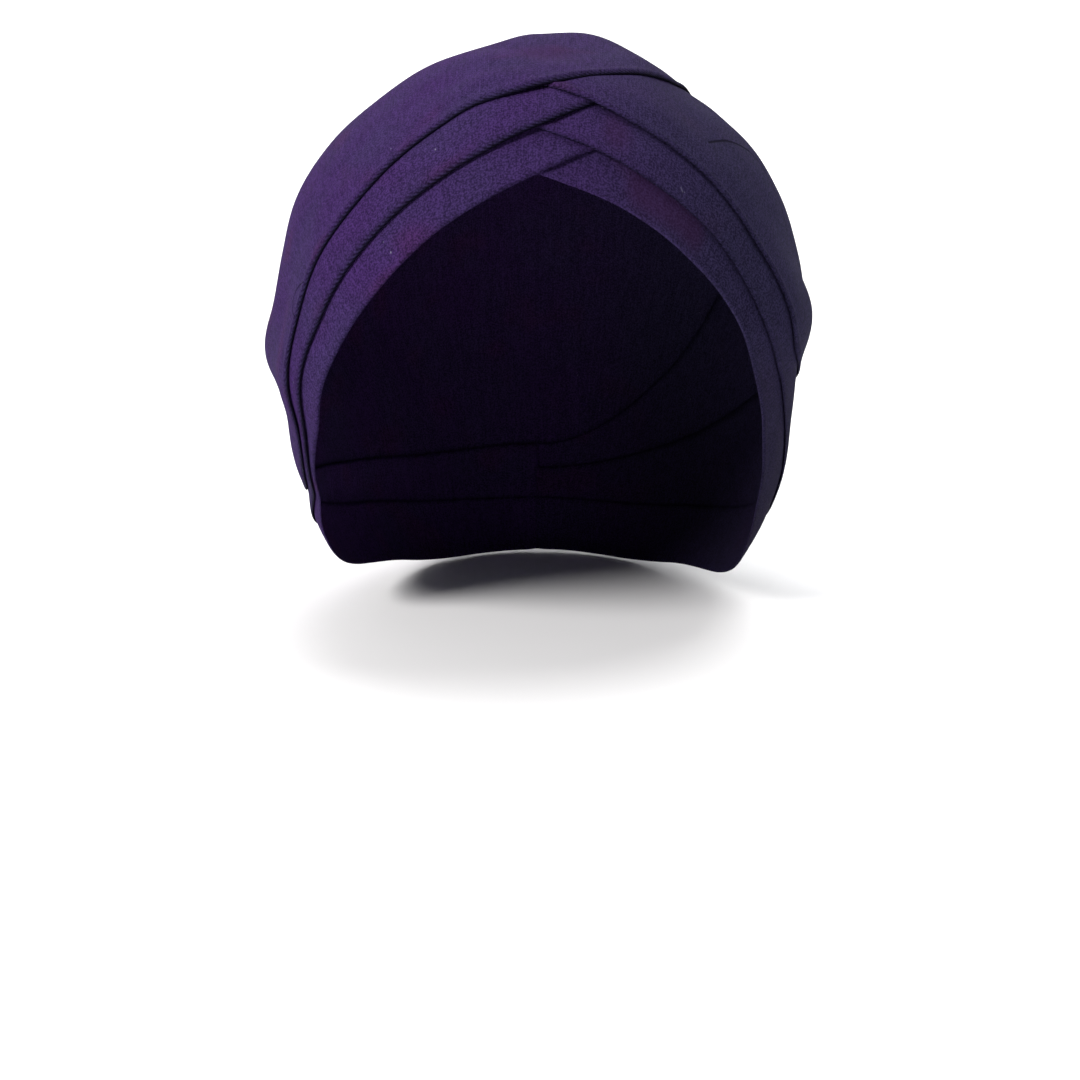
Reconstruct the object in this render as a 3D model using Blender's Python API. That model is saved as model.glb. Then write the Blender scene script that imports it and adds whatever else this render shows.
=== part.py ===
"""Turban cap of purple jersey: a crown and five folded bands that cross over the forehead.

Units are metres, +Z is up and the forehead faces -Y. Left means the viewer's left, at -X.
The origin is the inside of the crown, where the cap sits on top of a head.

Every piece is a cloth wall that lies on the layers under it. A place on the cap has two
angles: the turn runs round the cap from the middle of the forehead (0) to the nape (180,
or -180 on the left), and the polar angle runs down from the cap's pole, behind the top.
"""
from collections import namedtuple
from math import cos, radians, sin

import bmesh
import bpy
import numpy as np

MM = 0.001

# Driving sizes
SEAT_HEIGHT = 86 * MM        # from the middle of the head up to the inside of the crown
POLE_TILT = radians(30)      # how far the cap's pole leans back from the vertical
WALL = 1.2 * MM              # cloth of each piece
CLEARANCE = 0.45 * MM        # air between two layers
TUCK = 7 * MM                # how far a band's hidden rim runs under the next piece
NARROWEST = 12 * MM          # least width of a band, with its hidden rim
FOLD_SWELL = 0.6 * MM        # extra thickness of a band's folded edge
FOLD_DEPTH = 3.5 * MM        # how far that swelling runs back from the edge
FOLD_NOSE = 1.0 * MM         # depth of the edge's rounding
SEAM_HALF = 0.15             # degrees from the nape to the end of a band
RIGHT_START = 7              # degrees past the middle where the right bands begin, under the left ones
LEFT_LOWER_END = 17          # degrees past the middle where the left bands end, under the right ones
LEFT_UPPER_END = 20
EASE = 4.5 * MM              # how far past a hidden rim the layer above stays up
RAMP = 16 * MM               # length of the slope down from there
ARC = radians(1) * 88 * MM   # one degree of either angle, measured along the cap

# Mesh sizes
BAND_TURNS = 52
BAND_ROWS = 4
PANEL_ROWS = 5
CROWN_TURNS = 72
CROWN_ROWS = 7
RIM_DEPTHS = (23 * MM, 17 * MM, 12 * MM, 7.5 * MM)   # extra rows behind a wide piece's edge
RIM_WIDTH = 40 * MM                                  # where a piece is narrower, they move up
SHARP_ANGLE = radians(50)

# Where the sections stand closer together: over the forehead and by the temples
Crowding = namedtuple("Crowding", "turn reach extra")
CROWDING = (
    Crowding(-65, 22, 0.6),
    Crowding(0, 26, 0.3),
    Crowding(65, 22, 0.6),
)
SPREAD_SAMPLES = 400

# Inside of the cap in millimetres from the middle of the head, by height angle
Section = namedtuple("Section", "height left right front back")
SECTIONS = (
    Section(90, 86.0, 86.0, 86.0, 86.0),
    Section(80, 84.1, 86.9, 85.6, 87.2),
    Section(70, 83.1, 84.8, 85.0, 89.4),
    Section(55, 81.6, 80.6, 85.3, 95.0),
    Section(42, 81.5, 82.0, 87.0, 100.0),
    Section(30, 81.0, 81.5, 88.5, 103.0),
    Section(18, 78.8, 80.0, 89.0, 105.0),
    Section(6, 77.8, 80.2, 89.0, 106.0),
    Section(-5, 80.0, 76.8, 88.0, 106.0),
    Section(-16, 77.8, 78.4, 87.0, 105.0),
    Section(-28, 80.5, 83.8, 86.5, 103.0),
    Section(-34, 82.2, 86.6, 86.8, 103.0),
    Section(-40, 87.5, 90.0, 87.5, 103.0),
    Section(-52, 94.0, 96.0, 92.0, 108.0),
    Section(-70, 104.0, 104.0, 100.0, 118.0),
)

# Polar angles of the folded edges, by turn towards the edge's own side
Edge = namedtuple("Edge", "past middle inner_brow brow outer_brow temple cheek "
                          "ear_front ear_back mastoid hairline nape")
TURNS = Edge(-20, 0, 15, 30, 45, 60, 75, 90, 105, 125, 150, 180)
LEFT_CROWN = Edge(62.5, 74.0, 77.8, 88.0, 98.6, 113.6, 125.2, 127.2, 123.0, 113.5, 102.0, 94.0)
LEFT_UPPER = Edge(71.0, 81.7, 88.7, 96.9, 106.9, 117.2, 126.6, 130.0, 129.0, 122.0, 112.0, 106.0)
LEFT_HEM = Edge(80.5, 89.3, 96.2, 105.3, 114.4, 122.2, 127.9, 132.8, 135.8, 132.0, 121.0, 112.5)
RIGHT_CROWN = Edge(77.5, 74.0, 64.5, 56.0, 49.0, 45.0, 45.0, 48.5, 55.0, 66.0, 82.0, 94.0)
RIGHT_UPPER = Edge(62.0, 71.0, 78.5, 84.9, 95.1, 103.8, 104.6, 101.5, 99.0, 97.5, 98.0, 99.0)
RIGHT_MIDDLE = Edge(72.0, 80.8, 87.1, 93.7, 104.3, 109.8, 114.0, 121.0, 125.0, 121.5, 112.5, 106.0)
RIGHT_HEM = Edge(80.0, 88.5, 93.4, 101.0, 110.5, 118.0, 126.8, 134.3, 137.2, 133.0, 121.0, 112.5)

# Slack cloth over the back of the head, in millimetres of extra height
Slack = namedtuple("Slack", "turn polar width length height")
CROWN_SLACK = (
    Slack(-98, 94, 22, 11, 3.4),
)
PANEL_SLACK = (
    Slack(95, 88, 20, 9, 3.8),
)

CLOTH_COLOUR = (0.060, 0.030, 0.125)
CLOTH_ROUGHNESS = 0.9

Layer = namedtuple("Layer", "name begin finish upper lower slack")


def clear_scene():
    for item in list(bpy.data.objects):
        bpy.data.objects.remove(item, do_unlink=True)


def smoothstep(x):
    x = np.clip(x, 0, 1)
    return x * x * (3 - 2 * x)


def smooth(knots, values, at):
    """Smooth curve through the values at the knots, level past both ends."""
    knots, values = np.asarray(knots, float), np.asarray(values, float)
    slopes = np.zeros(len(knots))
    slopes[1:-1] = (values[2:] - values[:-2]) / (knots[2:] - knots[:-2])
    at = np.clip(at, knots[0], knots[-1])
    i = np.clip(np.searchsorted(knots, at) - 1, 0, len(knots) - 2)
    span = knots[i + 1] - knots[i]
    t = (at - knots[i]) / span
    rise = (1 - t) ** 2 * (1 + 2 * t) * values[i] + t * t * (3 - 2 * t) * values[i + 1]
    return rise + span * (t * (1 - t) ** 2 * slopes[i] - t * t * (1 - t) * slopes[i + 1])


# The head's form

def direction(turn, polar):
    """Unit vector from the middle of the head to a place on the cap."""
    turn, polar = np.radians(turn), np.radians(polar)
    x, y, z = np.sin(polar) * np.sin(turn), -np.sin(polar) * np.cos(turn), np.cos(polar)
    return np.stack([x + 0 * z, y * cos(POLE_TILT) + z * sin(POLE_TILT),
                     z * cos(POLE_TILT) - y * sin(POLE_TILT)], -1)


def radius(points):
    """Distance from the middle of the head to the cap's inside, towards each point."""
    unit = points / np.linalg.norm(points, axis=-1, keepdims=True)
    drop = 90 - np.degrees(np.arcsin(np.clip(unit[..., 2], -1, 1)))
    drops = [90 - section.height for section in SECTIONS]
    left, right, front, back = (
        smooth(drops, [getattr(section, side) for section in SECTIONS], drop) * MM
        for side in ("left", "right", "front", "back"))
    across, along = unit[..., 0], unit[..., 1]
    level = np.hypot(across, along) + 1e-9
    wide = np.where(across < 0, left, right)
    deep = np.where(along < 0, front, back)
    return 1 / np.hypot(across / level / wide, along / level / deep)


def place(turn, polar, lift):
    """Points of the cap at a height above the head's form, in the part's own frame."""
    unit = direction(turn, polar)
    skin = unit * radius(unit)[..., None]
    nudge = 0.5 * MM
    slope = np.stack([
        np.linalg.norm(skin + step, axis=-1) - radius(skin + step)
        - np.linalg.norm(skin - step, axis=-1) + radius(skin - step)
        for step in np.eye(3) * nudge], -1)
    slope /= np.linalg.norm(slope, axis=-1, keepdims=True)
    return skin + slope * np.asarray(lift)[..., None] - (0, 0, SEAT_HEIGHT)


# The layers

def left_edge(row):
    return lambda turn: smooth(TURNS, row, -turn)


def right_edge(row):
    return lambda turn: smooth(TURNS, row, turn)


def crown_edge(turn):
    return np.where(turn < 0, left_edge(LEFT_CROWN)(turn), right_edge(RIGHT_CROWN)(turn))


def tucked(edge, own_edge):
    """Hidden rim of a band, which runs in under the edge of the piece above."""
    return lambda turn: np.minimum(edge(turn) - TUCK / ARC, own_edge(turn) - NARROWEST / ARC)


def bumps(table):
    def height(turn, polar):
        total = 0 * (turn + polar)
        for bump in table:
            away = ((turn - bump.turn) / bump.width) ** 2 + ((polar - bump.polar) / bump.length) ** 2
            total = total + bump.height * MM * np.exp(-away)
        return total
    return height


def no_slack(turn, polar):
    return 0 * (turn + polar)


def band_layer(name, begin, finish, edge, edge_above, slack=no_slack):
    return Layer(name, begin, finish, tucked(edge_above, edge), edge, slack)


NAPE = 180 - SEAM_HALF
LEFT_UPPER_EDGE, LEFT_HEM_EDGE = left_edge(LEFT_UPPER), left_edge(LEFT_HEM)
RIGHT_UPPER_EDGE, RIGHT_MIDDLE_EDGE = right_edge(RIGHT_UPPER), right_edge(RIGHT_MIDDLE)
RIGHT_HEM_EDGE = right_edge(RIGHT_HEM)
BANDS = (
    band_layer("right_band_lower", -RIGHT_START, NAPE, RIGHT_HEM_EDGE, RIGHT_MIDDLE_EDGE),
    band_layer("left_band_lower", -NAPE, LEFT_LOWER_END, LEFT_HEM_EDGE, LEFT_UPPER_EDGE),
    band_layer("right_band_middle", -RIGHT_START, NAPE, RIGHT_MIDDLE_EDGE, RIGHT_UPPER_EDGE),
    band_layer("left_band_upper", -NAPE, LEFT_UPPER_END, LEFT_UPPER_EDGE, crown_edge),
    band_layer("right_band_upper", -RIGHT_START, NAPE, RIGHT_UPPER_EDGE, crown_edge, bumps(PANEL_SLACK)),
)
CROWN = Layer("crown", -180, 180, None, crown_edge, bumps(CROWN_SLACK))


def thickness(layer, turn, polar):
    """Wall thickness, which swells towards the folded edge."""
    back = (layer.lower(turn) - polar) * ARC
    return WALL + FOLD_SWELL * smoothstep(1 - (back - FOLD_NOSE) / (FOLD_DEPTH - FOLD_NOSE))


def support(layer, turn, polar, lift):
    """Height up to which a layer holds what lies over it, eased down to 0 beyond its rims."""
    below = (polar - layer.lower(turn)) * ARC
    above = (layer.upper(turn) - polar) * ARC
    beyond = np.maximum(layer.begin - turn, turn - layer.finish) * ARC * np.sin(np.radians(polar))
    outside = np.maximum.reduce([below, above, beyond])
    cover = 1 - smoothstep((outside - EASE) / RAMP)
    return cover * (lift + thickness(layer, turn, polar + EASE / ARC) + CLEARANCE)


def stack(turn, polar):
    """Height of each band's inside above the head's form, and of what lies over them all."""
    heights, top = {}, no_slack(turn, polar)
    for layer in BANDS:
        heights[layer.name] = top + layer.slack(turn, polar)
        top = np.maximum(top, support(layer, turn, polar, heights[layer.name]))
    return heights, top


def inside_height(layer, turn, polar):
    """Height of a layer's inside. Only the crown lies over the seam at the nape."""
    if layer is CROWN:
        tops = [stack(turn + whole, polar)[1] for whole in (-360, 0, 360)]
        return np.maximum.reduce(tops) + layer.slack(turn, polar)
    return stack(turn, polar)[0][layer.name]


# The meshes

def spread(begin, finish, count):
    """Turns from one to the other, closer together where the crowding table says so."""
    fine = np.linspace(begin, finish, SPREAD_SAMPLES)
    weight = 1 + sum(spot.extra * np.exp(-((fine - spot.turn) / spot.reach) ** 2) for spot in CROWDING)
    total = np.concatenate([[0], np.cumsum((weight[1:] + weight[:-1]) / 2)])
    return np.interp(np.linspace(0, total[-1], count), total, fine)


def section_loops(layer, turns, rows):
    """Closed loop of points round the wall at each turn: inside, folded nose, outside."""
    turn = np.broadcast_to(turns, rows.shape)
    lift = inside_height(layer, turn, rows)
    inside = place(turn, rows, lift)
    outside = place(turn, rows, lift + thickness(layer, turn, rows))
    edge = layer.lower(turns)
    nose = place(turns, edge, inside_height(layer, turns, edge) + (WALL + FOLD_SWELL) / 2)
    return np.concatenate([inside, nose[None], outside[::-1]])


def edge_rows(layer, turns, depths):
    """Rows of polar angles behind the folded edge, the deepest one first."""
    edge = layer.lower(turns)
    return np.stack([edge - depth / ARC for depth in depths])


def rows_between(high, low, count):
    """Even rows from the high one down to just above the low one."""
    share = np.linspace(0, 1, count + 1)[:-1, None]
    return high * (1 - share) + low * share


def band_loops(layer):
    turns = spread(layer.begin, layer.finish, BAND_TURNS)
    near = edge_rows(layer, turns, (FOLD_DEPTH, FOLD_NOSE))
    return section_loops(layer, turns, np.concatenate([
        rows_between(layer.upper(turns), near[0], BAND_ROWS), near]))


def panel_loops(layer):
    turns = spread(layer.begin, layer.finish, BAND_TURNS)
    near = edge_rows(layer, turns, (FOLD_DEPTH, FOLD_NOSE))
    room = (layer.lower(turns) - layer.upper(turns)) * ARC - FOLD_DEPTH
    squeeze = np.minimum(1, room / RIM_WIDTH)
    rim = edge_rows(layer, turns, [FOLD_DEPTH + (depth - FOLD_DEPTH) * squeeze for depth in RIM_DEPTHS])
    return section_loops(layer, turns, np.concatenate([
        rows_between(layer.upper(turns), rim[0], PANEL_ROWS), rim, near]))


def crown_loops(layer):
    turns = spread(layer.begin, layer.finish, CROWN_TURNS + 1)[:-1]
    rows = edge_rows(layer, turns, (*RIM_DEPTHS, FOLD_DEPTH, FOLD_NOSE))
    return section_loops(layer, turns, np.concatenate([
        rows_between(0 * turns, rows[0], CROWN_ROWS)[1:], rows]))


def new_object(name, mesh_data):
    bmesh.ops.recalc_face_normals(mesh_data, faces=mesh_data.faces)
    mesh = bpy.data.meshes.new(name)
    mesh_data.to_mesh(mesh)
    mesh_data.free()
    mesh.shade_smooth()
    mesh.set_sharp_from_angle(angle=SHARP_ANGLE)
    piece = bpy.data.objects.new(name, mesh)
    bpy.context.collection.objects.link(piece)
    mesh.materials.append(cloth(name + "_cloth"))
    return piece


def band(layer, loops):
    """Wall of a band, closed at both ends."""
    size, count = loops.shape[:2]
    shape = bmesh.new()
    grid = [[shape.verts.new(loops[k, i]) for k in range(size)] for i in range(count)]
    for one, two in zip(grid, grid[1:]):
        for k in range(size):
            after = (k + 1) % size
            shape.faces.new((one[k], two[k], two[after], one[after]))
    for end in (grid[0], grid[-1]):
        for k in range(size // 2 - 1):
            shape.faces.new((end[k], end[k + 1], end[-k - 2], end[-k - 1]))
        tip = size // 2
        shape.faces.new((end[tip - 1], end[tip], end[tip + 1]))
    return new_object(layer.name, shape)


def crown(layer, loops):
    """Wall of the crown, closed over the pole and folded under all round its edge."""
    size, count = loops.shape[:2]
    shape = bmesh.new()
    grid = [[shape.verts.new(loops[k, i]) for k in range(size)] for i in range(count)]
    pole_lift = inside_height(layer, np.zeros(1), np.zeros(1))
    poles = [shape.verts.new(place(np.zeros(1), np.zeros(1), pole_lift + extra)[0]) for extra in (0, WALL)]
    for i in range(count):
        one, two = grid[i], grid[(i + 1) % count]
        for k in range(size - 1):
            shape.faces.new((one[k], two[k], two[k + 1], one[k + 1]))
        shape.faces.new((one[0], two[0], poles[0]))
        shape.faces.new((one[-1], two[-1], poles[1]))
    return new_object(layer.name, shape)


def cloth(name):
    material = bpy.data.materials.new(name)
    material.use_nodes = True
    shader = material.node_tree.nodes["Principled BSDF"]
    shader.inputs["Base Color"].default_value = (*CLOTH_COLOUR, 1)
    shader.inputs["Roughness"].default_value = CLOTH_ROUGHNESS
    shader.inputs["Metallic"].default_value = 0
    return material


def build():
    clear_scene()
    *narrow_bands, panel = BANDS
    for layer in narrow_bands:
        band(layer, band_loops(layer))
    band(panel, panel_loops(panel))
    crown(CROWN, crown_loops(CROWN))


build()
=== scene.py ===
"""Looks of the turban cap: fine-knit jersey pieces with rolled folds of slanted strands.

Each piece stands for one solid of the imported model. Units are metres, +Z is up and the forehead
faces -Y. Left means the viewer's left, at -X. A place on the cap has two angles, in degrees: the
turn runs round the cap from the middle of the forehead (0) to the nape (180, or -180 on the left),
and the polar angle runs down from the cap's pole.
"""

from collections import namedtuple
from math import cos, pi, radians, sin

import bmesh
import bpy
import numpy as np
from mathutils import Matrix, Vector


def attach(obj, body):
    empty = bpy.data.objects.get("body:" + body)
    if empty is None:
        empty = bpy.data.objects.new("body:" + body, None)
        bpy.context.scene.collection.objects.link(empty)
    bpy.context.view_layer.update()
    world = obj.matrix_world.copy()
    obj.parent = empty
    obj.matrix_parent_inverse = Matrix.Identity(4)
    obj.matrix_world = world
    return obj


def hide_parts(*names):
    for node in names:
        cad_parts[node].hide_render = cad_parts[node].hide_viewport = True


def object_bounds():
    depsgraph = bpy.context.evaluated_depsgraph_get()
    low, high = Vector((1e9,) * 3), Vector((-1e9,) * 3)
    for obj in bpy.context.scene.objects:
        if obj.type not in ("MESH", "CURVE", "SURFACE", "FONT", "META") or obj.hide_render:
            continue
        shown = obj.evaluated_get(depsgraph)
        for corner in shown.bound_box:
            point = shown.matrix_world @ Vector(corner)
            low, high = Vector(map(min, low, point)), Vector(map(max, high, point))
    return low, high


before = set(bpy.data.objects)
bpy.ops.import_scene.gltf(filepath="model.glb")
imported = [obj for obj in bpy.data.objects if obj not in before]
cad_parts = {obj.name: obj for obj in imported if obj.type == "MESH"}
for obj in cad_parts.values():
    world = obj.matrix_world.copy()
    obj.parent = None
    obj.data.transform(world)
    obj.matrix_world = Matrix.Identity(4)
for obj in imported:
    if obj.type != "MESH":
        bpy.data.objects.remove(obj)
cad_low, cad_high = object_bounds()

MM = 0.001

# Driving sizes, as in the part's own source
SEAT_HEIGHT = 86 * MM        # from the middle of the head up to the inside of the crown
POLE_TILT = radians(30)      # how far the cap's pole leans back from the vertical
HEAD_RADIUS = 88 * MM        # middle radius, to turn lengths along the cap into degrees
ARC = radians(1) * HEAD_RADIUS   # length of one degree
TUCK = 7 * MM                # how far a band's hidden rim runs in under the piece above
NARROWEST = 12 * MM          # least width of a band, with its hidden rim
RIGHT_START = 7              # degrees past the middle, on the left, where the right bands start
LEFT_LOWER_END, LEFT_UPPER_END = 17, 20   # and where the left bands end
NAPE = 180.1                 # turn of the bands' ends at the nape, where they meet
PINCH, PINCH_REACH = 0.8 * MM, 1.6 * MM   # depth and half width of the groove of the nape's seam

# The wall, the air between two layers and whether the wall swells towards its folded edge, in the
# part's solids, in thinner plain cloth and in the cloth of the looks
Make = namedtuple("Make", "wall air swells")
SOLID = Make(1.2 * MM, 0.45 * MM, False)
THIN = Make(0.55 * MM, 0.10 * MM, False)
CLOTH = Make(THIN.wall, THIN.air, True)
SPARE_BLUR = 5               # degrees over which the room left by the thinner cloth is eased
LAYER_BLUR = 1.6             # degrees over which each layer's own height is eased
LAYER_GAP = 0.06 * MM        # more air between each layer and the next
EASE = 3 * MM                # how far past a hidden rim the layer above stays up
RAMP = 16 * MM               # length of the slope down from there

# The head's form: radii in mm to four sides, at angles above the middle of the head
Section = namedtuple("Section", "height left right front back")
SECTIONS = (
    Section(90, 86.0, 86.0, 86.0, 86.0),
    Section(80, 84.1, 86.9, 85.6, 87.2),
    Section(70, 83.1, 84.8, 85.0, 89.4),
    Section(55, 81.6, 80.6, 85.3, 95.0),
    Section(42, 81.5, 82.0, 87.0, 100.0),
    Section(30, 81.0, 81.5, 88.5, 103.0),
    Section(18, 78.8, 80.0, 89.0, 105.0),
    Section(6, 77.8, 80.2, 89.0, 106.0),
    Section(-5, 80.0, 76.8, 88.0, 106.0),
    Section(-16, 77.8, 78.4, 87.0, 105.0),
    Section(-28, 80.5, 83.8, 86.5, 103.0),
    Section(-34, 82.2, 86.6, 86.8, 103.0),
    Section(-40, 87.5, 90.0, 87.5, 103.0),
    Section(-52, 94.0, 96.0, 92.0, 108.0),
    Section(-70, 104.0, 104.0, 100.0, 118.0),
)

# The edges of the pieces: polar angles at twelve turns, from past the middle to the nape
Edge = namedtuple("Edge", "past middle inner_brow brow outer_brow temple cheek "
                          "ear_front ear_back mastoid hairline nape")
TURNS = Edge(-20, 0, 15, 30, 45, 60, 75, 90, 105, 125, 150, 180)
LEFT_CROWN = Edge(62.2, 73.3, 77.2, 87.6, 98.0, 113.6, 125.2, 127.2, 123.0, 113.5, 102.0, 94.0)
LEFT_UPPER = Edge(71.6, 81.8, 88.7, 97.3, 107.5, 118.0, 127.0, 130.0, 129.0, 122.0, 112.0, 106.0)
LEFT_HEM = Edge(81.0, 89.5, 96.7, 105.9, 115.2, 123.4, 128.3, 132.2, 135.8, 132.0, 121.0, 112.5)
RIGHT_CROWN = Edge(76.8, 73.3, 64.5, 55.4, 47.0, 42.0, 42.0, 46.5, 55.0, 66.0, 82.0, 94.0)
RIGHT_UPPER = Edge(62.5, 71.5, 78.7, 85.1, 95.8, 104.6, 104.6, 101.5, 99.0, 97.5, 98.0, 99.0)
RIGHT_MIDDLE = Edge(72.5, 81.3, 87.3, 94.3, 105.1, 111.2, 116.0, 121.0, 125.0, 121.5, 112.5, 106.0)
RIGHT_HEM = Edge(80.4, 88.9, 94.0, 101.8, 111.1, 119.4, 128.2, 134.5, 137.2, 133.0, 121.0, 112.5)

# Swellings and hollows: the place, the reach to both sides in degrees and the height in mm
Slack = namedtuple("Slack", "turn polar width length height")
CROWN_SLACK = (Slack(-98, 94, 22, 11, 3.4),)
PANEL_SLACK = (Slack(95, 88, 20, 9, 3.8),)
NUDGES = (                   # where the photo's outline lies a little in or out of the head's form
    Slack(82, 85, 18, 5, -2.0),
    Slack(-14, 37, 16, 12, -0.7),
    Slack(22, 35, 12, 9, 0.5),
    Slack(36, 45, 7, 6, -0.8),
    Slack(50, 51, 7, 5, 1.0),
    Slack(-84, 100, 12, 6, -0.8),
)

# The folded edges: spacing, height and slant of the strands, the swelling and its reach back from the
# edge, the length of the rounding, how dark the painted shade in its crease is, the angle round the
# fold where that painted shade begins, and the turn where the fold flattens towards the side of the head
Fold = namedtuple("Fold", "period height slant swell reach nose shade dark level")
LEFT_FOLD = Fold(1.7 * MM, 0.15 * MM, 1.9, 0.30 * MM, 5.5 * MM, 2.3 * MM, 0.96, -0.4, 64)
LEFT_RIM = Fold(1.7 * MM, 0.12 * MM, 1.9, 0.40 * MM, 4.5 * MM, 1.2 * MM, 0.35, -0.4, 64)
RIGHT_FOLD = Fold(1.2 * MM, 0.10 * MM, -1.6, 0.35 * MM, 3.6 * MM, 1.5 * MM, 0.95, 0.3, 60)
RIGHT_RIM = Fold(1.2 * MM, 0.08 * MM, -1.6, 0.35 * MM, 3.6 * MM, 1.0 * MM, 0.6, 1.0, 66)
NOSE_LOW = 0.3               # share of the fold's height that its lower half takes
FADE = 8                     # degrees over which a fold flattens before it ends under another piece
FADE_START, FADE_FINISH = 3, 4   # degrees from its start and its end that stay flat
LEVEL_OVER, LEVEL_SHARE = 18, 0.85   # degrees over which it flattens at the side, and by how much
STRAND_MIDDLE = 0.6          # level of the strands' relief that lies on the fold's own form
STRAND_DRIFT = ((7.3 * MM, 0.30), (2.9 * MM, 0.16))   # uneven spacing: waves, shares of a strand
SHADE_OVER = 1.6             # angle round the fold over which its painted shade deepens
BACK_SHADE = 0.1             # painted shade that the fold reaches before its rounding
UNDER_FADE = 1.2             # angle before the fold's inner end over which the strands flatten

# Mesh sizes
FINE = 0.32 * MM             # spacing of the points along a fold
STEP = 5                     # fine points to one coarse one
SLOPE_STEP = 0.5 * MM        # step from which the slope of the head's form is worked out
ROW = 1.6 * MM               # spacing of the rows on the outside
INNER_ROWS = 12
CROWN_INNER_ROWS = 40
BACK_SHARES = (1.0, 0.65, 0.42, 0.26, 0.12)   # fine rows behind the rounding, as shares of the way
ROUND_STEPS = 15             # rows over the rounding
EVEN_SAMPLES = 2400          # samples of an edge from which even spacings are worked out
GRID = 0.5                   # degrees between the places where the layers' heights are worked out
GRID_TURNS = np.arange(-200, 200 + GRID, GRID)
GRID_POLARS = np.arange(0, 150 + GRID, GRID)

Layer = namedtuple("Layer", "name begin finish upper lower slack fold")


def smoothstep(x):
    x = np.clip(x, 0, 1)
    return x * x * (3 - 2 * x)


def smooth(knots, values, at):
    """Smooth curve through the values at the knots, level past both ends."""
    knots, values = np.asarray(knots, float), np.asarray(values, float)
    slopes = np.zeros(len(knots))
    slopes[1:-1] = (values[2:] - values[:-2]) / (knots[2:] - knots[:-2])
    at = np.clip(at, knots[0], knots[-1])
    i = np.clip(np.searchsorted(knots, at) - 1, 0, len(knots) - 2)
    span = knots[i + 1] - knots[i]
    t = (at - knots[i]) / span
    rise = (1 - t) ** 2 * (1 + 2 * t) * values[i] + t * t * (3 - 2 * t) * values[i + 1]
    return rise + span * (t * (1 - t) ** 2 * slopes[i] - t * t * (1 - t) * slopes[i + 1])


# The head's form

def direction(turn, polar):
    """Unit vector from the middle of the head to a place on the cap."""
    turn, polar = np.radians(turn), np.radians(polar)
    x, y, z = np.sin(polar) * np.sin(turn), -np.sin(polar) * np.cos(turn), np.cos(polar)
    return np.stack([x + 0 * z, y * cos(POLE_TILT) + z * sin(POLE_TILT),
                     z * cos(POLE_TILT) - y * sin(POLE_TILT)], -1)


def radius(points):
    """Distance from the middle of the head to the cap's inside, towards each point."""
    unit = points / np.linalg.norm(points, axis=-1, keepdims=True)
    drop = 90 - np.degrees(np.arcsin(np.clip(unit[..., 2], -1, 1)))
    drops = [90 - section.height for section in SECTIONS]
    left, right, front, back = (
        smooth(drops, [getattr(section, side) for section in SECTIONS], drop) * MM
        for side in ("left", "right", "front", "back"))
    across, along = unit[..., 0], unit[..., 1]
    level = np.hypot(across, along) + 1e-9
    wide = np.where(across < 0, left, right)
    deep = np.where(along < 0, front, back)
    return 1 / np.hypot(across / level / wide, along / level / deep)


def place(turn, polar, lift):
    """Points of the cap at a height above the head's form, in the part's own frame."""
    unit = direction(turn, polar)
    skin = unit * radius(unit)[..., None]
    slope = np.stack([
        np.linalg.norm(skin + step, axis=-1) - radius(skin + step)
        - np.linalg.norm(skin - step, axis=-1) + radius(skin - step)
        for step in np.eye(3) * SLOPE_STEP], -1)
    slope /= np.linalg.norm(slope, axis=-1, keepdims=True)
    return skin + slope * np.asarray(lift)[..., None] - (0, 0, SEAT_HEIGHT)


# The layers

def left_edge(row):
    return lambda turn: smooth(TURNS, row, -turn)


def right_edge(row):
    return lambda turn: smooth(TURNS, row, turn)


def crown_edge(turn):
    return np.where(turn < 0, left_edge(LEFT_CROWN)(turn), right_edge(RIGHT_CROWN)(turn))


def tucked(edge, own_edge):
    """Hidden rim of a band, which runs in under the edge of the piece above."""
    return lambda turn: np.minimum(edge(turn) - TUCK / ARC, own_edge(turn) - NARROWEST / ARC)


def bumps(table):
    """Height of the table's swellings and hollows over a place."""
    def height(turn, polar):
        rise = 0 * (turn + polar)
        for bump in table:
            across, down = (turn - bump.turn) / bump.width, (polar - bump.polar) / bump.length
            rise = rise + bump.height * MM * np.exp(-(across ** 2 + down ** 2))
        return rise
    return height


def no_slack(turn, polar):
    return 0 * (turn + polar)


def band_layer(name, begin, finish, edge, edge_above, fold, slack=no_slack):
    return Layer(name, begin, finish, tucked(edge_above, edge), edge, slack, fold)


LEFT_UPPER_EDGE, LEFT_HEM_EDGE = left_edge(LEFT_UPPER), left_edge(LEFT_HEM)
RIGHT_UPPER_EDGE, RIGHT_MIDDLE_EDGE = right_edge(RIGHT_UPPER), right_edge(RIGHT_MIDDLE)
RIGHT_HEM_EDGE = right_edge(RIGHT_HEM)
BANDS = (
    band_layer("right_band_lower", -RIGHT_START, NAPE, RIGHT_HEM_EDGE, RIGHT_MIDDLE_EDGE, RIGHT_RIM),
    band_layer("left_band_lower", -NAPE, LEFT_LOWER_END, LEFT_HEM_EDGE, LEFT_UPPER_EDGE, LEFT_RIM),
    band_layer("right_band_middle", -RIGHT_START, NAPE, RIGHT_MIDDLE_EDGE, RIGHT_UPPER_EDGE, RIGHT_FOLD),
    band_layer("left_band_upper", -NAPE, LEFT_UPPER_END, LEFT_UPPER_EDGE, crown_edge, LEFT_FOLD),
    band_layer("right_band_upper", -RIGHT_START, NAPE, RIGHT_UPPER_EDGE, crown_edge, RIGHT_FOLD,
               bumps(PANEL_SLACK)),
)
CROWN = Layer("crown", -180, 180, None, crown_edge, bumps(CROWN_SLACK), LEFT_FOLD)


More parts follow.
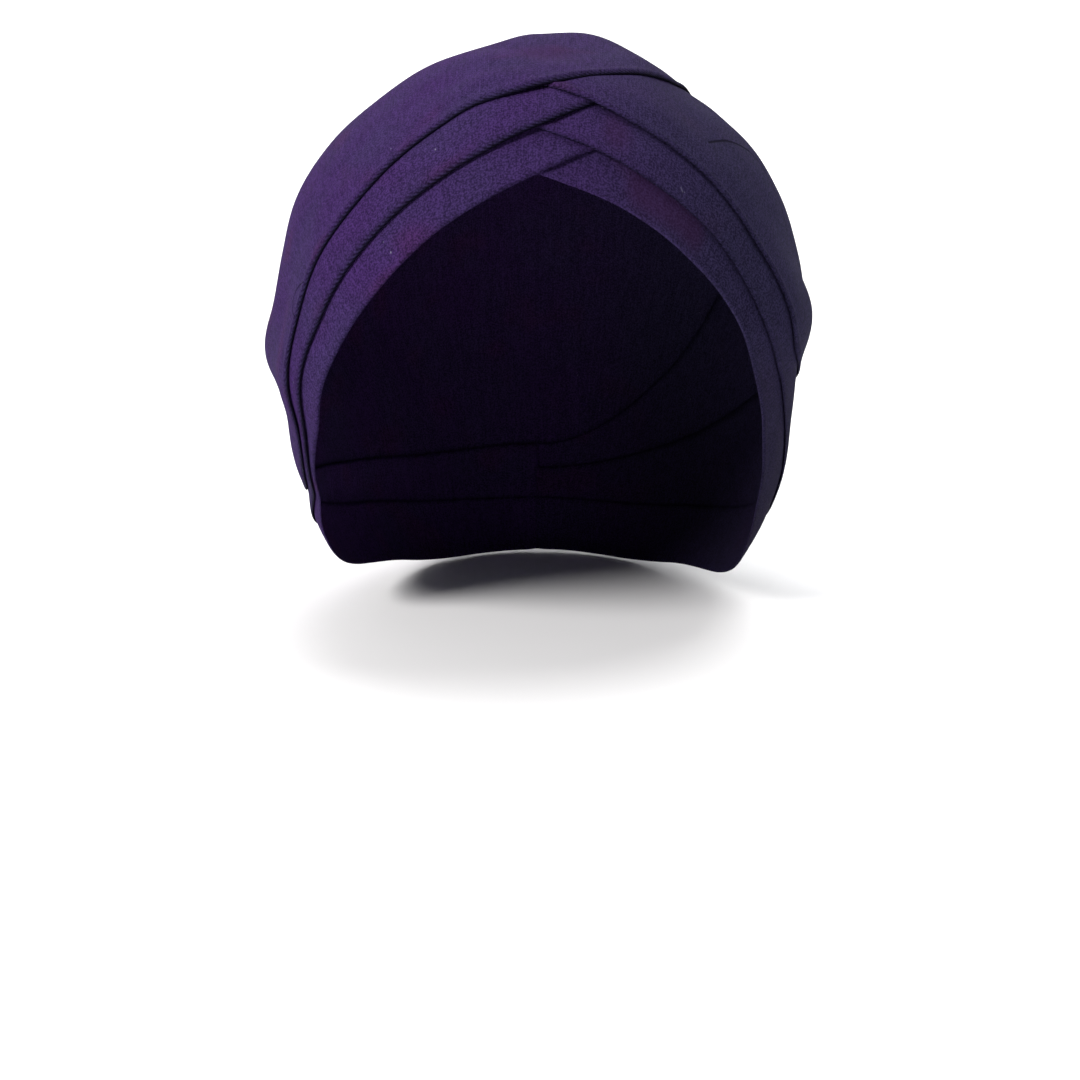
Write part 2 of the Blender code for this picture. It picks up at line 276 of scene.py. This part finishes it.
def fullness(layer, turn):
    """How full a fold is, from 0 at its flat ends under the other pieces to 1 over the forehead."""
    return (smoothstep((turn - layer.begin - FADE_START) / FADE)
            * smoothstep((layer.finish - FADE_FINISH - turn) / FADE)
            * (1 - LEVEL_SHARE * smoothstep((np.abs(turn) - layer.fold.level) / LEVEL_OVER)))


def thickness(layer, turn, polar, make=CLOTH):
    """Wall thickness, which swells towards the folded edge."""
    back = (layer.lower(turn) - polar) * ARC
    fold = layer.fold
    rise = smoothstep(1 - (back - fold.nose) / (fold.reach - fold.nose))
    return make.wall + make.swells * fold.swell * fullness(layer, turn) * rise


def support(layer, turn, polar, lift, make):
    """Height up to which a layer holds what lies over it, eased down to 0 beyond its rims."""
    below = (polar - layer.lower(turn)) * ARC
    above = (layer.upper(turn) - polar) * ARC
    beyond = np.maximum(layer.begin - turn, turn - layer.finish) * ARC * np.sin(np.radians(polar))
    outside = np.maximum.reduce([below, above, beyond])
    cover = 1 - smoothstep((outside - EASE) / RAMP)
    return cover * (lift + thickness(layer, turn, polar + EASE / ARC, make) + make.air)


def stack(turn, polar, make):
    """Height of each band's inside above the head's form, and of what lies over them all."""
    heights, top = {}, no_slack(turn, polar)
    for layer in BANDS:
        heights[layer.name] = top + layer.slack(turn, polar)
        top = np.maximum(top, support(layer, turn, polar, heights[layer.name], make))
    return heights, top


def total(turn, polar, make):
    """Height of all bands together, also where those of the other side reach over the nape."""
    return np.maximum.reduce([stack(turn + whole, polar, make)[1] for whole in (-360, 0, 360)])


def blurred(values, reach):
    """The grid's values, averaged over a reach in degrees."""
    count = int(3 * reach / GRID)
    weights = np.exp(-0.5 * (np.arange(-count, count + 1) * GRID / reach) ** 2)
    weights /= weights.sum()
    for axis in (0, 1):
        padded = np.pad(values, [(count, count) if k == axis else (0, 0) for k in (0, 1)], mode="edge")
        values = np.apply_along_axis(np.convolve, axis, padded, weights, mode="valid")
    return values


def grid_heights():
    """Height of each layer's inside on the grid, raised so that the outermost cloth lies where the
    solid walls end, eased so that the cloth spans the steps of the layers under it, and nudged
    towards the photo's outline."""
    turn, polar = np.meshgrid(GRID_TURNS, GRID_POLARS, indexing="ij")
    spare = total(turn, polar, SOLID) + SOLID.wall - total(turn, polar, THIN) - THIN.wall
    insides = stack(turn, polar, CLOTH)[0]
    insides[CROWN.name] = total(turn, polar, CLOTH) + CROWN.slack(turn, polar)
    base = blurred(spare, SPARE_BLUR) + bumps(NUDGES)(turn, polar)
    return {name: base + blurred(inside, LAYER_BLUR) + number * LAYER_GAP
            for number, (name, inside) in enumerate(insides.items())}


HEIGHTS = grid_heights()


def inside_height(layer, turn, polar):
    """Height of a layer's inside above the head's form."""
    turn, polar = np.broadcast_arrays(turn, polar)
    across = np.clip((turn - GRID_TURNS[0]) / GRID, 0, len(GRID_TURNS) - 1.001)
    down = np.clip((polar - GRID_POLARS[0]) / GRID, 0, len(GRID_POLARS) - 1.001)
    i, j = across.astype(int), down.astype(int)
    s, t = across - i, down - j
    grid = HEIGHTS[layer.name]
    return ((1 - s) * ((1 - t) * grid[i, j] + t * grid[i, j + 1])
            + s * ((1 - t) * grid[i + 1, j] + t * grid[i + 1, j + 1]))


# The cloth's own form: slow undulations and the strands of the rolled edges

# Waves through space: their pace along the three axes, their phase and their height in mm
Ripple = namedtuple("Ripple", "across along up phase height")
RIPPLES = (
    Ripple(17, 5, 9, 0.4, 0.07),
    Ripple(-9, 14, 12, 1.9, 0.07),
    Ripple(11, -19, 16, 3.1, 0.05),
    Ripple(23, 12, -21, 5.0, 0.03),
)
WAVER = ((6.1 * MM, 0.06), (17 * MM, 0.10))   # drift of a folded edge: wave lengths, heights in mm


def undulation(turn, polar):
    """Slow rise and fall of the whole cloth, the same for every layer."""
    unit = direction(turn, polar)
    heights = [wave.height * MM * np.sin(unit @ np.array([wave.across, wave.along, wave.up]) + wave.phase)
               for wave in RIPPLES]
    return sum(heights)


def waver(layer, along):
    """Small drift of a folded edge across its own line, in degrees of polar angle."""
    seed = len(layer.name)
    drift = sum(height * np.sin(along / wave + (i + 1) * seed) for i, (wave, height) in enumerate(WAVER))
    return drift * MM / ARC


def even_turns(layer):
    """Turns at an even spacing along the layer's edge, and the length along it to each."""
    dense = np.linspace(layer.begin, layer.finish, EVEN_SAMPLES)
    line = place(dense, layer.lower(dense), 0 * dense)
    along = np.concatenate([[0], np.cumsum(np.linalg.norm(np.diff(line, axis=0), axis=1))])
    count = int(along[-1] / FINE / STEP) * STEP
    share = np.linspace(0, along[-1], count + 1)
    return np.interp(share, along, dense), share


def twist(fold, along, over):
    """Number of slanted strands up to a length along the edge, at a distance over its rounding."""
    count = max(1, round(along[-1] / fold.period))
    drift = sum(share * np.sin(along / wave) for wave, share in STRAND_DRIFT)
    return count * along / along[-1] + fold.slant * over / fold.period + drift


def ribs(turns):
    """Relief of the strands, from their twist."""
    return np.abs(np.sin(pi * turns)) - STRAND_MIDDLE


# A row of points, with their places in the flat cloth, their share of the fold's painted shade, their
# strands and the number of fine spacings from one to the next
PointRow = namedtuple("PointRow", "points grain fold twist step")


def grain_place(turn, polar):
    """A place in the cloth's own flat coordinates, spread out round the pole."""
    reach = np.radians(polar) * HEAD_RADIUS
    return np.stack([reach * np.sin(np.radians(turn)), reach * np.cos(np.radians(turn)), 0 * reach], -1)


def surface(layer, turn, polar, lift, fold, strands, step):
    """One row of points at the given heights, drawn in along the seam at the nape."""
    seam = (180 - np.abs(turn)) * ARC * np.sin(np.radians(polar)) / PINCH_REACH
    pinch = 0 if layer is CROWN else PINCH * np.exp(-seam ** 2)
    points = place(turn, polar, lift + undulation(turn, polar) - pinch)
    fold, strands = (np.broadcast_to(values, turn.shape) for values in (fold, strands))
    return PointRow(points, grain_place(turn, polar), fold, strands, step)


def outside_rows(layer, turns, edge):
    """Coarse rows of the outside, from the upper rim or the pole down to where the fold begins."""
    first = layer.upper(turns) if layer.upper else 0 * turns
    last = edge - layer.fold.reach / ARC
    count = int(np.max(last - first) * ARC / ROW)
    rows = []
    for share in np.linspace(0, 1, count)[(0 if layer.upper else 1):-1]:
        polar = first * (1 - share) + last * share
        lift = inside_height(layer, turns, polar) + thickness(layer, turns, polar)
        rows.append(surface(layer, turns, polar, lift, 0.0, 0.0, STEP))
    return rows


def inside_rows(layer, turns, edge, count):
    """Coarse rows of the inside, from behind the fold up to the upper rim or the pole."""
    first = layer.upper(turns) if layer.upper else 0 * turns
    last = edge - layer.fold.reach / ARC
    rows = []
    for share in np.linspace(1, 0, count)[1:(None if layer.upper else -1)]:
        polar = first * (1 - share) + last * share
        rows.append(surface(layer, turns, polar, inside_height(layer, turns, polar), 0.0, 0.0, STEP))
    return rows


def fold_rows(layer, turns, along, edge):
    """Fine rows over the rolled edge: the outside behind it, the rounding and the underside."""
    fold, full = layer.fold, fullness(layer, turns)
    rows = []
    for share in BACK_SHARES:
        back = fold.nose + (fold.reach - fold.nose) * share
        polar = edge - back / ARC
        strands = twist(fold, along, back - fold.nose)
        rise = fold.height * full * ribs(strands) * smoothstep(1 - 2 * share)
        lift = inside_height(layer, turns, polar) + thickness(layer, turns, polar) + rise
        rows.append(surface(layer, turns, polar, lift, BACK_SHADE * (1 - share), strands, 1))
    level = inside_height(layer, turns, edge - fold.nose / ARC)
    tall = CLOTH.wall + fold.swell * full
    for angle in np.linspace(0, pi, ROUND_STEPS):
        strands = twist(fold, along, -angle * 2 / pi * fold.nose)
        rise = fold.height * full * ribs(strands) * smoothstep((pi - angle) / UNDER_FADE)
        polar = edge + (rise * sin(angle) - fold.nose * (1 - sin(angle))) / ARC
        half = (1 - NOSE_LOW) if angle < pi / 2 else NOSE_LOW
        lift = level + tall * (NOSE_LOW + half * cos(angle)) + rise * cos(angle)
        # the fold value is painted shade, deepening round the rounding towards the underside
        shade = fold.shade * smoothstep((angle - fold.dark) / SHADE_OVER)
        rows.append(surface(layer, turns, polar, lift, shade, strands, 1))
    return rows


def sew(one, two, closed):
    """Faces between two rows of vertices, where either may have a fine row's spacing."""
    faces = []
    (first, step_one), (second, step_two) = one, two
    if step_one == step_two:
        pairs = len(first) if closed else len(first) - 1
        for i in range(pairs):
            j = (i + 1) % len(first)
            faces.append((first[i], first[j], second[j], second[i]))
        return faces
    coarse, fine = (first, second) if step_one > step_two else (second, first)
    pairs = len(coarse) if closed else len(coarse) - 1
    for i in range(pairs):
        between = [fine[(i * STEP + k) % len(fine)] for k in range(STEP, -1, -1)]
        faces.append((coarse[i], coarse[(i + 1) % len(coarse)], *between))
    return faces


def cloth_mesh(name, rows, closed, poles):
    """One closed mesh over the rows, with the grain, the fold's painted shade and the strands as
    attributes.
    """
    points = np.concatenate([row.points for row in rows])
    grain = np.concatenate([row.grain for row in rows])
    fold = np.concatenate([row.fold for row in rows])
    strands = np.concatenate([row.twist for row in rows])
    starts = np.cumsum([0] + [len(row.points) for row in rows])
    lines = [(list(range(starts[i], starts[i + 1])), row.step) for i, row in enumerate(rows)]
    faces = []
    for one, two in zip(lines, lines[1:]):
        faces += sew(one, two, closed)
    if poles is None:
        faces += sew(lines[-1], lines[0], closed)
        for end in (0, -1):
            faces.append(tuple(line[end] for line, step in lines))
    else:
        for line, pole in ((lines[0][0], poles[0]), (lines[-1][0], poles[1])):
            tip = len(points)
            points = np.concatenate([points, pole[None]])
            grain = np.concatenate([grain, np.zeros((1, 3))])
            fold = np.concatenate([fold, [0]])
            strands = np.concatenate([strands, [0]])
            faces += [(line[i], line[(i + 1) % len(line)], tip) for i in range(len(line))]
    mesh = bpy.data.meshes.new(name)
    mesh.from_pydata(points.tolist(), [], faces)
    for label, kind, field, values in (("grain", "FLOAT_VECTOR", "vector", grain),
                                       ("fold", "FLOAT", "value", fold),
                                       ("twist", "FLOAT", "value", strands)):
        attribute = mesh.attributes.new(label, kind, "POINT")
        attribute.data.foreach_set(field, values.astype(np.float32).ravel())
    shape = bmesh.new()
    shape.from_mesh(mesh)
    bmesh.ops.recalc_face_normals(shape, faces=shape.faces)
    shape.to_mesh(mesh)
    shape.free()
    mesh.shade_smooth()
    return mesh


# Form of a record of what a piece is cut to before it is stretched over the head, in metres and square
# metres
Cut = namedtuple("Cut", "width length area")


def cloth_piece(layer):
    """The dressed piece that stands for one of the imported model's cloth walls."""
    turns, along = even_turns(layer)
    closed = layer is CROWN
    if closed:
        turns = turns[:-1]
    fine_along = along[:len(turns)]
    edge = layer.lower(turns) + (0 if closed else waver(layer, fine_along))
    coarse = slice(None, None, STEP)
    rows = outside_rows(layer, turns[coarse], edge[coarse])
    rows += fold_rows(layer, turns, fine_along, edge)
    count = CROWN_INNER_ROWS if closed else INNER_ROWS
    rows += inside_rows(layer, turns[coarse], edge[coarse], count)
    poles = None
    if closed:
        top = np.zeros(1)
        lift = inside_height(layer, top, top) + undulation(top, top)
        poles = [place(top, top, lift + extra)[0] for extra in (CLOTH.wall, 0)]
    name = layer.name + "_cloth"
    piece = bpy.data.objects.new(name, cloth_mesh(name, rows, closed, poles))
    bpy.context.scene.collection.objects.link(piece)
    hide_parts(layer.name)
    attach(piece, "root")
    return piece


# The jersey

VIOLET = (0.0272, 0.0116, 0.0590)    # the left side and the top, with clouds of slate and magenta
SLATE = (0.0222, 0.0164, 0.0520)
MAGENTA = (0.0338, 0.0110, 0.0495)
SHADED_SIDE = (0.0205, 0.0184, 0.0455)      # painted shade: the right side, darker towards its foot
SHADED_FOOT = (0.0062, 0.0056, 0.0120)
CREASE_SHADE_AND_SPECK = (0.0016, 0.0013, 0.0042)    # painted shade between and under a fold's strands and in the tuck; also dark specks and the thread
# painted shade on a fold, lighter on the ridges of its strands
SHADED_STRAND = (0.0128, 0.0102, 0.0300)
LINT = (0.16, 0.15, 0.22)
SHEEN = (0.55, 0.50, 0.85, 1)

# Sizes of the jersey's features
WALE, COURSE = 0.62 * MM, 0.50 * MM
CLOUD, PATCH = 28 * MM, 17 * MM
HEATHER, STREAK = 0.52 * MM, 0.8 * MM
STREAK_SQUEEZE = (1, 0.12, 1)        # draws the streaks out along the wales
FLECK_SPACING = 7 * MM
BUMP_DEPTH = 0.10 * MM

# Strengths
SLATE_MOST, MAGENTA_MOST, SIDE_SHADE_MOST = 0.55, 0.6, 0.85
FLECK_STRENGTH = 0.40
HEATHER_LOW, HEATHER_HIGH = 0.60, 1.40
STREAK_TONE, KNIT_TONE = 0.14, 0.14
WALE_SHARE, LEG_SHARE, LEG_SLANT = 0.6, 0.4, 1.4
HEATHER_RELIEF, STRAND_RELIEF = 2.0, 3.2   # in heights of a stitch
SEED_STEP = 0.31                     # from one piece's noise to the next one's

# This cap's own marks, with painted shade and light among them: a colour over a width round a line or a
# spot, with its strength and its relief in heights of a stitch, at places given as turn and polar angle
Mark = namedtuple("Mark", "layer colour strength width relief line")
# painted light, as reddish patches
LIT_BLUSH = (0.0290, 0.0085, 0.0360)
MARKS = (
    # a loose thread drawn dark, then a tuck with painted shade in its groove and in the soft crease below
    # it
    Mark("crown", CREASE_SHADE_AND_SPECK, 0.8, 0.42 * MM, 2.0,
         ((-46.5, 98.0), (-49.0, 97.6), (-51.5, 98.0), (-52.8, 99.2), (-53.0, 100.6), (-52.4, 102.0),
          (-51.0, 103.0))),
    Mark("right_band_upper", CREASE_SHADE_AND_SPECK, 0.85, 0.70 * MM, -5.0,
         ((33.0, 75.0), (36.5, 72.6), (40.0, 70.5), (45.5, 68.5), (50.0, 67.5))),
    Mark("right_band_upper", CREASE_SHADE_AND_SPECK, 0.35, 1.5 * MM, -5.0, ((50.0, 67.5), (53.0, 68.0), (55.0, 70.0))),
    Mark("right_band_upper", CREASE_SHADE_AND_SPECK, 0.18, 2.4 * MM, -4.0, ((55.0, 70.0), (57.0, 75.0), (59.5, 82.0))),
    # lint and dark specks
    Mark("crown", LINT, 0.5, 0.42 * MM, 0, ((28.5, 51.0),)),
    Mark("crown", CREASE_SHADE_AND_SPECK, 0.8, 0.60 * MM, 0, ((2.3, 46.7),)),
    Mark("crown", CREASE_SHADE_AND_SPECK, 0.8, 0.55 * MM, 0, ((-12.8, 71.9),)),
    Mark("crown", LINT, 0.45, 0.42 * MM, 0, ((-25.6, 79.5),)),
    Mark("left_band_upper", LINT, 0.7, 0.45 * MM, 0, ((-16.4, 82.9),)),
    Mark("left_band_upper", CREASE_SHADE_AND_SPECK, 0.8, 0.60 * MM, 0, ((-24.5, 91.8),)),
    Mark("left_band_upper", LINT, 0.6, 0.45 * MM, 0, ((-57.0, 113.6),)),
    Mark("left_band_lower", LINT, 0.8, 0.50 * MM, 0, ((-24.7, 99.1),)),
    Mark("right_band_middle", LINT, 0.35, 0.45 * MM, 0, ((24.0, 88.4), (24.3, 89.0))),
    Mark("right_band_middle", LINT, 0.4, 0.40 * MM, 0, ((10.9, 76.1),)),
    # reddish patches of painted light
    Mark("crown", LIT_BLUSH, 0.35, 14 * MM, 0, ((2.0, 54.0),)),
    Mark("right_band_middle", LIT_BLUSH, 0.35, 8 * MM, 0, ((13.0, 81.0),)),
    Mark("right_band_lower", LIT_BLUSH, 0.5, 9 * MM, 0, ((17.0, 90.0), (27.0, 94.5))),
)


class Nodes:
    """Short way to add and join a material's nodes."""

    def __init__(self, tree):
        self.tree = tree

    def add(self, kind, inputs=(), output=0, **settings):
        node = self.tree.nodes.new("ShaderNode" + kind)
        for key, value in settings.items():
            setattr(node, key, value)
        for key, value in dict(inputs).items():
            if isinstance(value, bpy.types.NodeSocket):
                self.tree.links.new(value, node.inputs[key])
            else:
                node.inputs[key].default_value = value
        return node.outputs[output]

    def math(self, operation, one, two=0.0):
        return self.add("Math", {0: one, 1: two}, operation=operation)

    def ramp(self, value, low, high, to_low=0.0, to_high=1.0):
        """The value's place between two limits, smoothed and carried over to two others."""
        limits = {"From Min": low, "From Max": high, "To Min": to_low, "To Max": to_high}
        return self.add("MapRange", {"Value": value, **limits}, interpolation_type="SMOOTHSTEP")

    def mix(self, factor, one, two, blend="MIX"):
        one, two = ((*colour, 1) if isinstance(colour, tuple) else colour for colour in (one, two))
        return self.add("Mix", {0: factor, 6: one, 7: two}, output=2, data_type="RGBA", blend_type=blend)

    def split(self, vector):
        """The vector's three coordinates."""
        node = self.tree.nodes.new("ShaderNodeSeparateXYZ")
        self.tree.links.new(vector, node.inputs[0])
        return node.outputs

    def nearness(self, vector, width, ends):
        """1 on a line through the ends, or at a single spot, down to 0 over the width from it."""
        ends = [tuple(end) for end in ends]
        gap = None
        if len(ends) == 1:
            gap = self.add("VectorMath", {0: vector, 1: ends[0]}, 1, operation="DISTANCE")
        for one, two in zip(ends, ends[1:]):
            along = Vector(two) - Vector(one)
            reach = self.add("VectorMath", {0: vector, 1: one}, operation="SUBTRACT")
            share = self.add("VectorMath", {0: reach, 1: along / along.length_squared}, 1,
                             operation="DOT_PRODUCT")
            share = self.add("Math", {0: share, 1: 0}, operation="ADD", use_clamp=True)
            foot = self.add("VectorMath", {0: along, "Scale": share}, operation="SCALE")
            far = self.add("VectorMath", {0: reach, 1: foot}, 1, operation="DISTANCE")
            gap = self.math("MINIMUM", gap, far) if gap else far
        return self.ramp(gap, 0.2 * width, width, 1, 0)

    def noise(self, vector, size, detail=2.0, seed=0.0):
        """Noise around a half, with features of about the given size."""
        moved = self.add("VectorMath", {0: vector, 1: (seed, seed, seed)}, operation="ADD")
        return self.add("TexNoise", {"Vector": moved, "Scale": 1 / size, "Detail": detail})


def knit_height(nodes, grain):
    """Relief of the stitches: rounded wales, with slanted legs along each."""
    parts = nodes.split(grain)
    across = nodes.math("MULTIPLY", parts["X"], 1 / WALE)
    along = nodes.math("MULTIPLY", parts["Y"], 1 / COURSE)
    side = nodes.math("ABSOLUTE", nodes.math("SUBTRACT", nodes.math("FRACT", across), 0.5))
    wale = nodes.math("COSINE", nodes.math("MULTIPLY", side, 2 * pi))
    slant = nodes.math("ADD", along, nodes.math("MULTIPLY", side, LEG_SLANT))
    leg = nodes.math("SINE", nodes.math("MULTIPLY", slant, 2 * pi))
    return nodes.math("ADD", nodes.math("MULTIPLY", wale, WALE_SHARE),
                      nodes.math("MULTIPLY", leg, LEG_SHARE))


def jersey(layer, seed):
    """Matt heathered jersey, with stitches in its relief and tone, with the layer's marks and with
    painted shade.
    """
    material = bpy.data.materials.new(layer.name + "_jersey")
    material.use_nodes = True
    nodes = Nodes(material.node_tree)
    shader = material.node_tree.nodes["Principled BSDF"]
    grain = nodes.add("Attribute", output=1, attribute_name="grain")
    fold = nodes.add("Attribute", output=2, attribute_name="fold")
    strands = nodes.add("Attribute", output=2, attribute_name="twist")
    strand = nodes.math("ABSOLUTE", nodes.math("SINE", nodes.math("MULTIPLY", strands, pi)))
    strand = nodes.math("SUBTRACT", strand, STRAND_MIDDLE)
    spot = nodes.add("TexCoord", output=3)
    cloud = nodes.noise(spot, CLOUD, 2, seed)
    patch = nodes.noise(spot, PATCH, 1, seed + 5)
    heather = nodes.noise(spot, HEATHER, 3, seed)
    streak_spot = nodes.add("VectorMath", {0: grain, 1: STREAK_SQUEEZE}, operation="MULTIPLY")
    streak = nodes.noise(streak_spot, STREAK, 2, seed)
    knit = knit_height(nodes, grain)

    colour = nodes.mix(nodes.ramp(cloud, 0.35, 0.68, 0, SLATE_MOST), VIOLET, SLATE)
    colour = nodes.mix(nodes.ramp(patch, 0.56, 0.74, 0, MAGENTA_MOST), colour, MAGENTA)
    sides = nodes.split(spot)
    # painted shade: the right side turns darker and greyer, and darker still towards its foot
    side_shade = nodes.mix(nodes.ramp(sides["Z"], -0.17, -0.05, 1, 0), SHADED_SIDE, SHADED_FOOT)
    colour = nodes.mix(nodes.ramp(sides["X"], -0.01, 0.06, 0, SIDE_SHADE_MOST), colour, side_shade)
    # painted shade over each fold: the crease colour, lighter on the strands' ridges, darkest at the
    # underside
    lit = nodes.math("MULTIPLY", nodes.ramp(strand, -0.3, 0.4), nodes.ramp(fold, 0.82, 0.96, 1, 0.15))
    colour = nodes.mix(fold, colour, nodes.mix(lit, CREASE_SHADE_AND_SPECK, SHADED_STRAND))
    tone = nodes.math("ADD", nodes.ramp(heather, 0.36, 0.64, HEATHER_LOW, HEATHER_HIGH),
                      nodes.ramp(streak, 0.3, 0.7, -STREAK_TONE, STREAK_TONE))
    tone = nodes.math("ADD", tone, nodes.math("MULTIPLY", knit, KNIT_TONE))
    shade = nodes.add("CombineColor", {0: tone, 1: tone, 2: tone})
    colour = nodes.mix(1.0, colour, shade, "MULTIPLY")
    flecks = nodes.add("TexVoronoi", {"Vector": spot, "Scale": 1 / FLECK_SPACING, "Randomness": 1.0})
    fleck = nodes.ramp(flecks, 0.018, 0.03, 1, 0)
    colour = nodes.mix(nodes.math("MULTIPLY", fleck, FLECK_STRENGTH), colour, LINT)
    relief = nodes.math("ADD", knit, nodes.math("MULTIPLY", heather, HEATHER_RELIEF))
    strand_relief = nodes.math("MULTIPLY", nodes.math("MULTIPLY", fold, strand), STRAND_RELIEF)
    relief = nodes.math("ADD", relief, strand_relief)
    for mark in MARKS:
        if mark.layer == layer.name:
            near = nodes.nearness(grain, mark.width, grain_place(*np.transpose(mark.line)))
            colour = nodes.mix(nodes.math("MULTIPLY", near, mark.strength), colour, mark.colour)
            relief = nodes.math("ADD", relief, nodes.math("MULTIPLY", near, mark.relief))
    material.node_tree.links.new(colour, shader.inputs["Base Color"])

    bump = nodes.add("Bump", {"Strength": 0.30, "Distance": BUMP_DEPTH, "Height": relief})
    material.node_tree.links.new(bump, shader.inputs["Normal"])
    rough = nodes.ramp(heather, 0.3, 0.7, 0.82, 0.95)
    material.node_tree.links.new(rough, shader.inputs["Roughness"])
    shader.inputs["Specular IOR Level"].default_value = 0.02
    shader.inputs["Sheen Weight"].default_value = 0.004
    shader.inputs["Sheen Roughness"].default_value = 0.45
    shader.inputs["Sheen Tint"].default_value = SHEEN
    return material


for number, layer in enumerate((*BANDS, CROWN)):
    piece = cloth_piece(layer)
    piece.data.materials.append(jersey(layer, SEED_STEP * number))


# The stage: a pale floor that curves up into a pale wall

FLOOR_GAP = 1.2 * MM
FLOOR_FRONT, WALL_BACK, WALL_HEIGHT, WALL_BEND, HALF_WIDTH = -2.2, 1.1, 1.6, 0.5, 2.5


def add_stage():
    low, bend = cad_low.z - FLOOR_GAP, WALL_BEND
    foot = WALL_BACK - bend
    profile = [(FLOOR_FRONT, 0.0), (foot, 0.0)]
    profile += [(foot + bend * sin(a), bend - bend * cos(a)) for a in np.linspace(0.1, pi / 2, 16)]
    profile.append((WALL_BACK, WALL_HEIGHT))
    shape = bmesh.new()
    sides = [[shape.verts.new((x, y, low + z)) for y, z in profile] for x in (-HALF_WIDTH, HALF_WIDTH)]
    for i in range(len(profile) - 1):
        shape.faces.new((sides[0][i], sides[1][i], sides[1][i + 1], sides[0][i + 1]))
    mesh = bpy.data.meshes.new("floor")
    shape.to_mesh(mesh)
    shape.free()
    mesh.shade_smooth()
    floor = bpy.data.objects.new("floor", mesh)
    bpy.context.scene.collection.objects.link(floor)
    material = bpy.data.materials.new("floor_paint")
    material.use_nodes = True
    shader = material.node_tree.nodes["Principled BSDF"]
    shader.inputs["Base Color"].default_value = (0.93, 0.93, 0.93, 1)
    shader.inputs["Roughness"].default_value = 0.9
    mesh.materials.append(material)


Light = namedtuple("Light", "name at target size power colour")
CENTRE = (0, 0, -0.08)
BEHIND = (0.3, 0.9, -0.17)
LIGHTS = (
    Light("key", (-0.90, -0.70, 0.55), CENTRE, 0.5, 22, (1.0, 0.98, 0.97)),
    Light("fill", (0.9, -0.6, 0.3), CENTRE, 0.8, 0.5, (0.85, 0.90, 1.0)),
    Light("top", (0.1, 0.2, 1.2), CENTRE, 0.9, 2.0, (0.95, 0.96, 1.0)),
    Light("wash", (0.2, 0.35, 1.0), BEHIND, 1.2, 18, (1.0, 1.0, 1.0)),
)


def add_light(lamp):
    data = bpy.data.lights.new(lamp.name, "AREA")
    data.shape = "DISK"
    data.size = lamp.size
    data.energy = lamp.power
    data.color = lamp.colour
    light = bpy.data.objects.new(lamp.name, data)
    light.location = lamp.at
    towards = np.array(lamp.target) - np.array(lamp.at)
    light.rotation_euler = Vector(towards).to_track_quat("-Z", "Y").to_euler()
    bpy.context.scene.collection.objects.link(light)


add_stage()
for lamp in LIGHTS:
    add_light(lamp)
world = bpy.data.worlds.new("studio")
world.use_nodes = True
world.node_tree.nodes["Background"].inputs["Color"].default_value = (0.92, 0.94, 1.0, 1)
world.node_tree.nodes["Background"].inputs["Strength"].default_value = 0.15
bpy.context.scene.world = world
bpy.context.scene.view_settings.view_transform = "Standard"

camera_data = bpy.data.cameras.new("camera")
camera_data.lens = 50
camera_data.sensor_width = 36
camera = bpy.data.objects.new("camera", camera_data)
camera.location = (0.0011, -0.4675, -0.0377)
camera.rotation_euler = (radians(76.15), 0, 0)
bpy.context.scene.collection.objects.link(camera)
bpy.context.scene.camera = camera
